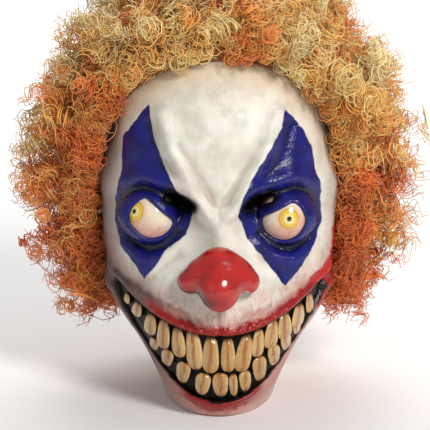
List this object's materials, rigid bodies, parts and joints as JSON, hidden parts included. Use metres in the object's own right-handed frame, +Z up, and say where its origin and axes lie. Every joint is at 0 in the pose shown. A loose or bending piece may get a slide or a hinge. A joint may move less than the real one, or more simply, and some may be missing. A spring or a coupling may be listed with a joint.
{
  "type": "latex halloween mask",
  "caption": "Over-the-head latex clown mask with a wide toothy grin, bulb nose, bulging eyes, curly wig and a closure tab at the nape.",
  "frame": {"origin": "middle of the object's footprint, on the plane of the neck rim that the mask stands on", "axes": "+Z up through the crown; the face looks along -Y; +X is on the right of someone facing the mask"},
  "size_m": [0.324, 0.2982, 0.359],
  "materials": {
    "face_latex": "off-white natural latex, hand painted in thin coats with satin blue, red and black",
    "nose_latex": "glossy red painted latex",
    "eye_shell": "vacuum-formed shell, painted and lacquered",
    "gum_latex": "black-brown latex with a wet gloss",
    "teeth": "cast resin teeth, stained amber, streaked brown, lacquered",
    "foam": "open-cell polyurethane foam",
    "cap_knit": "stretch knit",
    "elastic": "woven elastic",
    "weft_tape": "sewn weft tape",
    "webbing": "woven polyester webbing",
    "hook_tape": "moulded hook tape",
    "loop_tape": "brushed loop tape",
    "hair_orange": "tightly curled synthetic hair, orange with golden strands",
    "hair_gold": "tightly curled synthetic hair, golden orange"
  },
  "bodies": {
    "mask": {"latex_skin": "face_latex", "nose_bulb": "nose_latex", "left_eye": "eye_shell", "right_eye": "eye_shell", "upper_gum": "gum_latex", "lower_gum": "gum_latex", "upper_teeth": "teeth", "lower_teeth": "teeth", "crown_pad": "foam", "wig_cap": "cap_knit", "hairline_band": "cap_knit", "nape_elastic": "elastic", "weft_tracks": "weft_tape", "tab_anchor": "webbing", "loop_patch": "loop_tape", "hair_row_1": "hair_orange", "hair_row_2": "hair_orange", "hair_row_3": "hair_orange", "hair_row_4": "hair_orange", "hair_row_5": "hair_orange", "hair_row_6": "hair_gold", "hair_row_7": "hair_gold", "hair_row_8": "hair_gold", "hair_crown": "hair_gold"},
    "closure": {"closure_tab": "webbing", "hook_patch": "hook_tape"}
  },
  "joints": [
    {"name": "closure_tab_hinge", "type": "hinge", "parent": "mask", "child": "closure", "pos_m": [-0.0322, 0.06783, 0.025], "axis": [0, 0.3245, 0.9459], "range_deg": [0, 140]}
  ]
}
